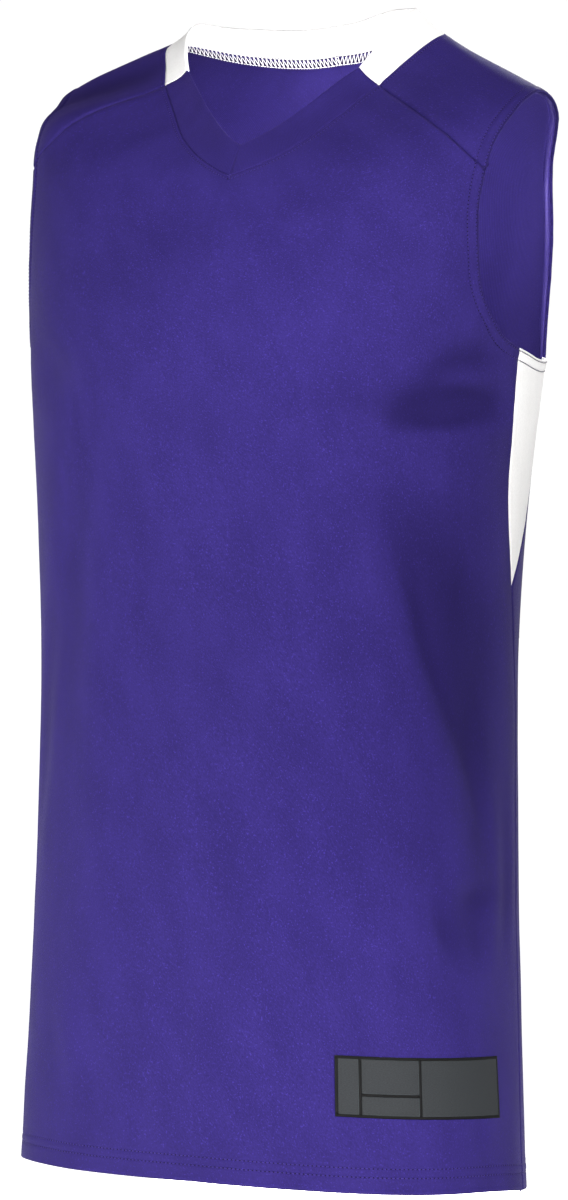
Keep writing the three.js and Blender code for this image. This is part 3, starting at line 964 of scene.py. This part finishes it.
def knit(name, color, roughness, rib=0.0, speck=0.3, sheen=0.3, tint=(1, 1, 1), crease_shade=0.5, contrast=1.0):
    """Fine double knit: rows of small loops, a faint slanting grain, bright specks and soft mottling.

    Rib says how strongly upright ribs show, speck how bright the specks are, hollow how much painted shade
    darkens the bottom of a deep crease, and contrast how much the grain and mottling show.
    """
    look = Look(name, roughness, 0.08, tint, sheen)
    cloth = look.layer("cloth")
    girth, along, rise = look.split(cloth)
    loops = look.math("MULTIPLY", look.ribs(girth, WALE), look.ribs(along, COURSE))
    grain = look.noise(cloth, (0.7, 1.9), 2.0, 0.5)
    specks = look.ramp(look.noise(cloth, (1.0, 1.3), 1.0), 0.62, 0.74)
    mottle = look.noise(cloth, (26, 60), 3.0, 0.2)
    upright = look.ribs(girth, RIB)
    tone = look.math("ADD", look.math("MULTIPLY", grain, 0.6), look.math("MULTIPLY", mottle, 0.4))
    tone = look.math("ADD", tone, look.math("MULTIPLY", upright, 0.14 * rib))
    base = look.blend(look.ramp(tone, 0.32, 0.68), shade(color, 1 - 0.2 * contrast),
                      shade(color, 1 + 0.17 * contrast))
    base = look.blend(look.math("MULTIPLY", specks, speck), base, shade(color, 2.8))
    # Painted shade: the colour darkens towards the bottom of deep troughs, by the rise in the cloth layer
    look.color(look.blend(look.ramp(rise, -6.0, -0.3, crease_shade, 0.0), base, shade(color, 0.2)))
    look.rough(look.ramp(grain, 0.25, 0.75, roughness - 0.07, roughness + 0.09))
    height = look.math("ADD", look.math("MULTIPLY", loops, 0.3), grain)
    height = look.math("ADD", height, look.math("MULTIPLY", upright, rib))
    look.bump(height, 0.16)
    return look.material


def thread(name, color, tint=(1, 1, 1), roughness=0.42):
    """Twisted sewing thread."""
    look = Look(name, roughness, 0.5, tint)
    place = look.nodes.new("ShaderNodeNewGeometry").outputs["Position"]
    twist = look.noise(place, (0.9 * MM, 0.9 * MM), 2.0)
    look.color(look.blend(look.ramp(twist, 0.3, 0.7), shade(color, 0.75), shade(color, 1.25)))
    look.bump(twist, 0.1)
    return look.material


def weave(name, color, pitch, contrast):
    """Flat woven label cloth: a fine slanting twill."""
    look = Look(name, 0.65, 0.15)
    cloth = look.layer("cloth")
    across, up, _ = look.split(cloth)
    slant = look.ribs(look.math("ADD", across, look.math("MULTIPLY", up, 0.8)), pitch)
    picks = look.ribs(up, pitch * 0.62)
    grain = look.noise(cloth, (1.2, 0.5), 2.0)
    tone = look.math("ADD", look.math("MULTIPLY", look.math("MULTIPLY", slant, picks), 0.2), grain)
    look.color(look.blend(look.ramp(tone, 0.3, 0.75), shade(color, 1 - contrast), shade(color, 1 + contrast)))
    look.bump(look.math("ADD", tone, look.math("MULTIPLY", slant, 0.3)), 0.12)
    return look.material


PURPLE = (0.0181, 0.0119, 0.084)
WHITE = (0.64, 0.63, 0.625)
CHARCOAL = (0.0165, 0.0185, 0.0205)
VIOLET = (0.4, 0.28, 1.0)     # tint of the purple cloth's sheen

purple_outside = knit("purple_outside", PURPLE, 0.6, speck=0.45, sheen=0.05, tint=VIOLET)
purple_inside = knit("purple_inside", PURPLE, 0.62, rib=1.0, speck=0.3, sheen=0.05, tint=VIOLET)
purple_collar = knit("purple_collar", shade(PURPLE, 0.97), 0.62, rib=0.5, speck=0.25, sheen=0.05, tint=VIOLET)
white_outside = knit("white_outside", WHITE, 0.6, speck=0.05, sheen=0.2, crease_shade=0.1, contrast=0.3)
purple_thread = thread("purple_thread", shade(PURPLE, 1.05), VIOLET)
hem_thread = thread("hem_thread", shade(PURPLE, 1.3), VIOLET)
# Purple darkened to painted shade, for the strips under the white zigzag at the neck
shaded_bound_cloth = thread("shaded_bound_cloth", shade(PURPLE, 0.12), VIOLET, 0.8)
pale_thread = thread("pale_thread", shade(PURPLE, 1.5), VIOLET)
white_thread = thread("white_thread", (0.62, 0.61, 0.62))
grey_thread = thread("grey_thread", (0.12, 0.12, 0.13))
# Near-black purple as painted shade, for the needle pits and the painted shadow under the neck strips
painted_shade_dark = thread("painted_shade_dark", shade(PURPLE, 0.06), VIOLET, 0.9)
label_cell = weave("label_cell", CHARCOAL, 0.9, 0.22)
label_line = weave("label_line", shade(CHARCOAL, 0.1), 0.6, 0.3)
# Lighter charcoal, for the painted highlight along the lower and right sides of the cells
label_edge_highlight = weave("label_edge_highlight", shade(CHARCOAL, 1.5), 0.6, 0.2)

purple = [purple_outside, purple_inside]
front = body_panel("front_cloth", -90, neck_front, insert_front, arm_front, purple)
back = body_panel("back_cloth", 90, neck_back, insert_back, arm_back, purple)
insert_left, insert_right = [
    side_insert(f"side_insert_{word}_cloth", side, [white_outside, white_outside])
    for word, side in (("left", 1), ("right", -1))
]
collar_left, collar_right = [
    band(f"collar_front_{word}_cloth", neck_front, edge_front, [side], [purple_collar, purple_collar])
    for word, side in (("left", 1), ("right", -1))
]
collar_back = band("collar_back_cloth", neck_back, edge_back, [1, -1], [white_outside, white_outside])

ground = Ground([front, back, insert_left, insert_right, collar_left, collar_right, collar_back])
# Dark marks that paint shade: the needle pits and the shadow under the neck strips
dark = Heap()


def place_pieces(pieces):
    for piece in pieces:
        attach(piece, "root")


def knot():
    """The ends of thread that show at the foot of the V."""
    heap = Heap()
    place = np.array([[-90.0, 770.3]])
    start, way = cloth_point(place[:, 0], place[:, 1], np.ones(1))
    share = np.linspace(0, 1, 7)[:, None]
    paths = []
    for across, up in ((-1.6, 1.0), (1.3, 1.4), (0.7, -1.6)):
        reach = np.array([across, 0, up])
        paths.append(start + share * reach + way * (0.1 + 0.9 * np.sin(np.pi * share)))
    paths = np.stack(paths)
    heap.tubes(paths, np.broadcast_to(way[0], paths.shape), 0.28 * np.ones(7))
    return heap.make("neck_knot", [pale_thread])


def hem_sewing():
    """Two rows of stitches round the hem, and the looped thread that joins them inside."""
    heap = Heap()
    rows = [round_body(row) for row in BODY_HEM_ROWS]
    for row in rows:
        stitch_row(heap, row)
        stitch_row(heap, row, inside=True)
        holes(dark, row)
    zigzag(heap, *rows, 2.6)
    return heap.make("hem_sewing", [hem_thread])


ARM_LINE = np.concatenate([arm_front.split(60)[::-1], arm_under.split(24)[1:], arm_back.split(90)[1:]])
ARM_WHITE = arm_under.split(24)[1:-1]


def armhole_sewing(side):
    """Two rows of stitches round an armhole, and the looped thread inside. They are grey on the white insert."""
    heap = Heap()
    rows = [beside(ARM_LINE, side, row) for row in ARM_HEM_ROWS]
    middle = seam_line(ARM_LINE, side).mean(axis=0)
    for row, distance in zip(rows, ARM_HEM_ROWS):
        stitch_row(heap, row, 2.6)
        stitch_row(heap, row, 2.6, inside=True, index=1)
        holes(dark, row, 2.6, 0.7, 1.8)
        stitch_row(heap, beside(ARM_WHITE, side, distance + 0.1, middle), 2.2, 0.28, 0.42, index=2, gap=0.02)
    zigzag(heap, *rows, 1.9, index=1)
    return heap.make(f"armhole_sewing_{'left' if side > 0 else 'right'}", [purple_thread, pale_thread, grey_thread])


def neck_sewing():
    """The row of stitches just outside the collar."""
    heap = Heap()
    middle = np.array([0, 0, 60])
    for side in (1, -1):
        for seam in (neck_front, neck_back):
            row = beside(seam.split(60), side, NECK_ROW, middle)
            stitch_row(heap, row, 2.4)
            holes(dark, row, 2.4, 0.62, 1.6)
    return heap.make("neck_sewing", [purple_thread])


OVERLOCK = (0.5, 6.0)         # the strip of raw edges at a seam, by its distance from the seam
OVERLOCK_THICK = 0.9
OVERLOCK_STAND = 1.4


def seam_strips():
    """The raw edges of the seams inside, each strip bound with zigzag thread."""
    cloth, threads = Heap(), Heap()
    front_point = (0, -2000, -400)
    neck_middle = (0, 0, 60)
    seams = [(SIDE_PLACES, front_point, 0), (insert_front.split(50), front_point, 0),
             (insert_back.split(50)[6:], front_point, 0), (shoulder_seam.split(40)[1:-1], front_point, 0),
             (neck_front.split(40)[1:], neck_middle, 1), (neck_back.split(60)[:-1], neck_middle, 1)]
    for side in (1, -1):
        for places, point, white in seams:
            lines = [beside(places, side, distance, point) for distance in OVERLOCK]
            # At the neck the strip takes the darkened cloth: painted shade between the thread loops
            tape(cloth, *lines, 2.5, OVERLOCK_THICK, OVERLOCK_STAND, white)
            spread = [beside(places, side, distance, point) for distance in (OVERLOCK[0] + 0.2, OVERLOCK[1] + 0.1)]
            lifts = (OVERLOCK_THICK, OVERLOCK_THICK + OVERLOCK_STAND)
            zigzag(threads, *spread, 3.1, 0.29 if white else 0.22, lifts, white)
            if white:
                # A row of near-black thread along the free edge of the neck strip: a painted shadow under it
                stitch_row(dark, beside(places, side, OVERLOCK[1] + 0.9, point), 2.4, 0.5, 0.0, inside=True, gap=0.02)
            for line, lift in zip(spread, lifts):
                stitch_row(threads, line, 2.1, 0.3, 0.5, white, inside=True, lift=lift)
    return (cloth.make("seam_strips", [purple_inside, shaded_bound_cloth]),
            threads.make("seam_binding", [purple_thread, white_thread]))


# The hip label: its corners and dividers by turn, and its heights on the cloth at both ends
LABEL_ENDS = (-57.6, -6.9)
LABEL_LOW = (51.4, 49.3)
LABEL_HIGH = (91.8, 90.4)
LABEL_HEIGHT = 40.5
LABEL_DIVIDERS = (-51.9, -37.2)
LABEL_SPLIT = 0.37            # height of the middle cell's lower line, as a share
LABEL_LINE = 1.9              # width of the dark lines
LABEL_LIFT = 0.35
LABEL_THICK = 0.7


def label():
    """A woven label of bare cells with dark raised lines between them."""
    heap = Heap()
    layers = []

    def patch(turns, shares, bottom, top, index):
        """A thin slab of the label between two turns and two shares of its height."""
        columns = max(2, round((turns[1] - turns[0]) * MM_PER_DEGREE / 1.6) + 1)
        rows = max(2, round((shares[1] - shares[0]) * LABEL_HEIGHT / 1.6) + 1)
        turn, share = np.meshgrid(np.linspace(*turns, columns), np.linspace(*shares, rows))
        end = (turn - LABEL_ENDS[0]) / (LABEL_ENDS[1] - LABEL_ENDS[0])
        low = LABEL_LOW[0] + (LABEL_LOW[1] - LABEL_LOW[0]) * end
        high = LABEL_HIGH[0] + (LABEL_HIGH[1] - LABEL_HIGH[0]) * end
        along = low + (high - low) * share
        points, ways = cloth_point(turn.ravel(), along.ravel(), np.ones(turn.size))
        laid, up = ground.lay(points, ways)
        ids = np.arange(turn.size).reshape(turn.shape)
        tops = np.stack([ids[:-1, :-1], ids[:-1, 1:], ids[1:, 1:], ids[1:, :-1]], axis=-1).reshape(-1, 4)
        edge = np.concatenate([ids[0], ids[1:, -1], ids[-1, -2::-1], ids[-2:0:-1, 0]])
        after = np.roll(edge, -1)
        walls = np.stack([edge + turn.size, after + turn.size, after, edge], axis=-1)
        heap.add(np.concatenate([laid + up * top, laid + up * bottom]),
                 np.concatenate([tops, tops[:, ::-1] + turn.size, walls]), index)
        place = np.stack([turn.ravel() * MM_PER_DEGREE, along.ravel(), 0 * turn.ravel()], axis=-1)
        layers.extend([place, place])

    top = LABEL_LIFT + LABEL_THICK
    patch(LABEL_ENDS, (0, 1), LABEL_LIFT, top, 0)
    wide = LABEL_LINE / MM_PER_DEGREE
    tall = LABEL_LINE / LABEL_HEIGHT
    raised = (top - 0.1, top + 0.22)
    highlight_strip = (top - 0.1, top + 0.1)
    first, last = LABEL_ENDS
    for share in (0, 1 - tall):
        patch((first, last), (share, share + tall), *raised, 1)
    for turn in (first, last - wide, *(divider - wide / 2 for divider in LABEL_DIVIDERS)):
        patch((turn, turn + wide), (tall, 1 - tall), *raised, 1)
    split = (LABEL_SPLIT - tall / 2, LABEL_SPLIT + tall / 2)
    patch((LABEL_DIVIDERS[0] + wide / 2, LABEL_DIVIDERS[1] - wide / 2), split, *raised, 1)
    cells = [((first + wide, LABEL_DIVIDERS[0] - wide / 2), (tall, 1 - tall)),
             ((LABEL_DIVIDERS[0] + wide / 2, LABEL_DIVIDERS[1] - wide / 2), (tall, split[0])),
             ((LABEL_DIVIDERS[0] + wide / 2, LABEL_DIVIDERS[1] - wide / 2), (split[1], 1 - tall)),
             ((LABEL_DIVIDERS[1] + wide / 2, last - wide), (tall, 1 - tall))]
    # Painted highlight: a lighter strip along the lower and right side of each cell
    for turns, shares in cells:
        patch(turns, (shares[0], shares[0] + tall * 0.3), *highlight_strip, 2)
        patch((turns[1] - wide * 0.3, turns[1]), (shares[0] + tall * 0.3, shares[1]), *highlight_strip, 2)
    return heap.make("hem_label_cloth", [label_cell, label_line, label_edge_highlight], {"cloth": np.concatenate(layers)})


hem_threads = hem_sewing()
armhole_threads = [armhole_sewing(side) for side in (1, -1)]
neck_threads = neck_sewing()
neck_knot = knot()
strips, binding = seam_strips()
painted_shade_marks = dark.make("painted_shade_marks", [painted_shade_dark])
hip_label = label()

for piece, node in [
    (front, "front_panel"), (back, "back_panel"), (insert_left, "side_insert_left"),
    (insert_right, "side_insert_right"), (collar_left, "collar_front_left"),
    (collar_right, "collar_front_right"), (collar_back, "collar_back"), (hip_label, "hem_label"),
]:
    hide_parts(node)
place_pieces([front, back, collar_left, collar_right, hem_threads, *armhole_threads, neck_threads,
                             neck_knot, strips, painted_shade_marks])
place_pieces([insert_left, insert_right, collar_back, binding])
place_pieces([hip_label])

# Camera, at the photograph's angle

CAMERA_AZIMUTH = math.radians(26.68)
CAMERA_DISTANCE = 3.996
CAMERA_HEIGHT = -0.3268
CAMERA_PITCH = math.radians(-0.968)
CAMERA_ROLL = math.radians(1.86)
CAMERA_LENS = 171.7

camera_data = bpy.data.cameras.new("camera")
camera_data.sensor_fit = "VERTICAL"
camera_data.sensor_height = 36
camera_data.lens = CAMERA_LENS
camera_data.clip_end = 100
camera = bpy.data.objects.new("camera", camera_data)
camera.matrix_world = (
    Matrix.Translation((
        CAMERA_DISTANCE * math.sin(CAMERA_AZIMUTH),
        -CAMERA_DISTANCE * math.cos(CAMERA_AZIMUTH),
        CAMERA_HEIGHT,
    ))
    @ Matrix.Rotation(CAMERA_AZIMUTH, 4, "Z")
    @ Matrix.Rotation(math.pi / 2 + CAMERA_PITCH, 4, "X")
    @ Matrix.Rotation(CAMERA_ROLL, 4, "Z")
)
bpy.context.scene.collection.objects.link(camera)
bpy.context.scene.camera = camera

# Light and floor

SKY_BAND = 0.12               # height of the white band round the horizon, as a share of straight up
SKY_FADE = 0.2                # height over which it fades
SKY_TOP = 0.05                # brightness over it

world = bpy.data.worlds.new("world")
world.use_nodes = True
sky = world.node_tree
direction = sky.nodes.new("ShaderNodeTexCoord").outputs["Generated"]
height = sky.nodes.new("ShaderNodeSeparateXYZ")
sky.links.new(direction, height.inputs[0])
fade = sky.nodes.new("ShaderNodeMapRange")
fade.interpolation_type = "SMOOTHSTEP"
for socket, value in zip(fade.inputs[1:], (SKY_BAND, SKY_BAND + SKY_FADE, 1.02, SKY_TOP)):
    socket.default_value = value
sky.links.new(height.outputs["Z"], fade.inputs[0])
sky.links.new(fade.outputs[0], sky.nodes["Background"].inputs["Strength"])
sky.nodes["Background"].inputs["Color"].default_value = (1, 1, 1, 1)
bpy.context.scene.world = world
bpy.context.scene.view_settings.view_transform = "Standard"


def add_light(name, kind, place, power):
    """A light that isn't seen itself."""
    data = bpy.data.lights.new(name, kind)
    data.energy = power
    light = bpy.data.objects.new(name, data)
    light.location = place
    light.visible_camera = False
    bpy.context.scene.collection.objects.link(light)
    return light


def round_place(azimuth, height, distance):
    """A place azimuth degrees round from straight in front of the jersey."""
    angle = math.radians(azimuth)
    return Vector((distance * math.sin(angle), -distance * math.cos(angle), height))


def face(light, target):
    light.rotation_euler = (Vector(target) - light.location).to_track_quat("-Z", "Y").to_euler()


MIDDLE = (0, 0, -0.2)
SOFT_LIGHTS = [
    # name, azimuth, height, distance, size, power
    ("low_right", -40, -1.08, 1.3, 0.5, 18.5),
    ("low_middle", -10, -1.08, 1.3, 0.5, 4.5),
    ("low_left", 20, -1.08, 1.3, 0.5, 9.0),
    ("back_low", 207, -0.7, 3.0, 1.0, 80),
    ("back_high", 190, 0.8, 3.0, 1.0, 45),
]
BEAM_DISTANCE = 2.6
BEAMS = [
    # name, azimuth, height, target, cone, power
    ("middle", 20, 0.6, (-0.02, -0.1, -0.26), 12, 560),
    ("upper_chest", 45, 1.3, (0.05, -0.09, -0.08), 9, 760),
    ("near_chest", 45, -0.8, (0.15, -0.09, -0.14), 11, 80),
    ("near_shoulder", 70, 1.6, (0.14, 0.02, -0.06), 8, 510),
    ("near_hem", 45, -0.2, (0.15, -0.09, -0.74), 13, 820),
    ("far_hem", -50, -0.6, (-0.12, -0.1, -0.68), 15, 200),
]
INNER_LIGHTS = [
    # name, place, power
    ("inner_neck", (0, 0, -0.08), 0.7),
    ("inner_arm", (0.06, -0.03, -0.1), 1.2),
]

for name, azimuth, height, distance, size, power in SOFT_LIGHTS:
    light = add_light(name, "AREA", round_place(azimuth, height, distance), power)
    light.data.size = size
    face(light, MIDDLE)
for name, azimuth, height, target, cone, power in BEAMS:
    light = add_light(name, "SPOT", round_place(azimuth, height, BEAM_DISTANCE), power)
    light.data.spot_size = math.radians(cone)
    light.data.spot_blend = 1.0
    light.data.shadow_soft_size = 0.25
    face(light, target)
for name, place, power in INNER_LIGHTS:
    add_light(name, "POINT", place, power).data.shadow_soft_size = 0.04

FLOOR_Z = -1.15
FLOOR_REACH = 30.0


def floor_look():
    """Pale matt floor that glows, weakly under the jersey and fully further out: it turns to the white of the
    surroundings, and the weak glow leaves painted shade under the jersey.
    """
    look = Look("floor", 0.9, 0.1)
    x, y, _ = look.split(look.nodes.new("ShaderNodeNewGeometry").outputs["Position"])
    far = look.math("SQRT", look.math("ADD", look.math("POWER", x, 2.0), look.math("POWER", y, 2.0)))
    look.color(look.blend(0.5, (0.8, 0.8, 0.8), (0.8, 0.8, 0.8)))
    look.set("Emission Color", (1, 1, 1, 1))
    # The glow is weakest under the jersey, a painted shade there, and full further out where the floor turns white
    look.links.new(look.ramp(far, 0.6, 2.6, 0.3, 1.0), look.shader.inputs["Emission Strength"])
    return look.material


floor_data = bpy.data.meshes.new("floor")
floor_data.from_pydata(
    [(x * FLOOR_REACH, y * FLOOR_REACH, FLOOR_Z) for x, y in ((-1, -1), (1, -1), (1, 1), (-1, 1))],
    [], [(0, 1, 2, 3)])
floor = bpy.data.objects.new("floor", floor_data)
floor_data.materials.append(floor_look())
bpy.context.scene.collection.objects.link(floor)
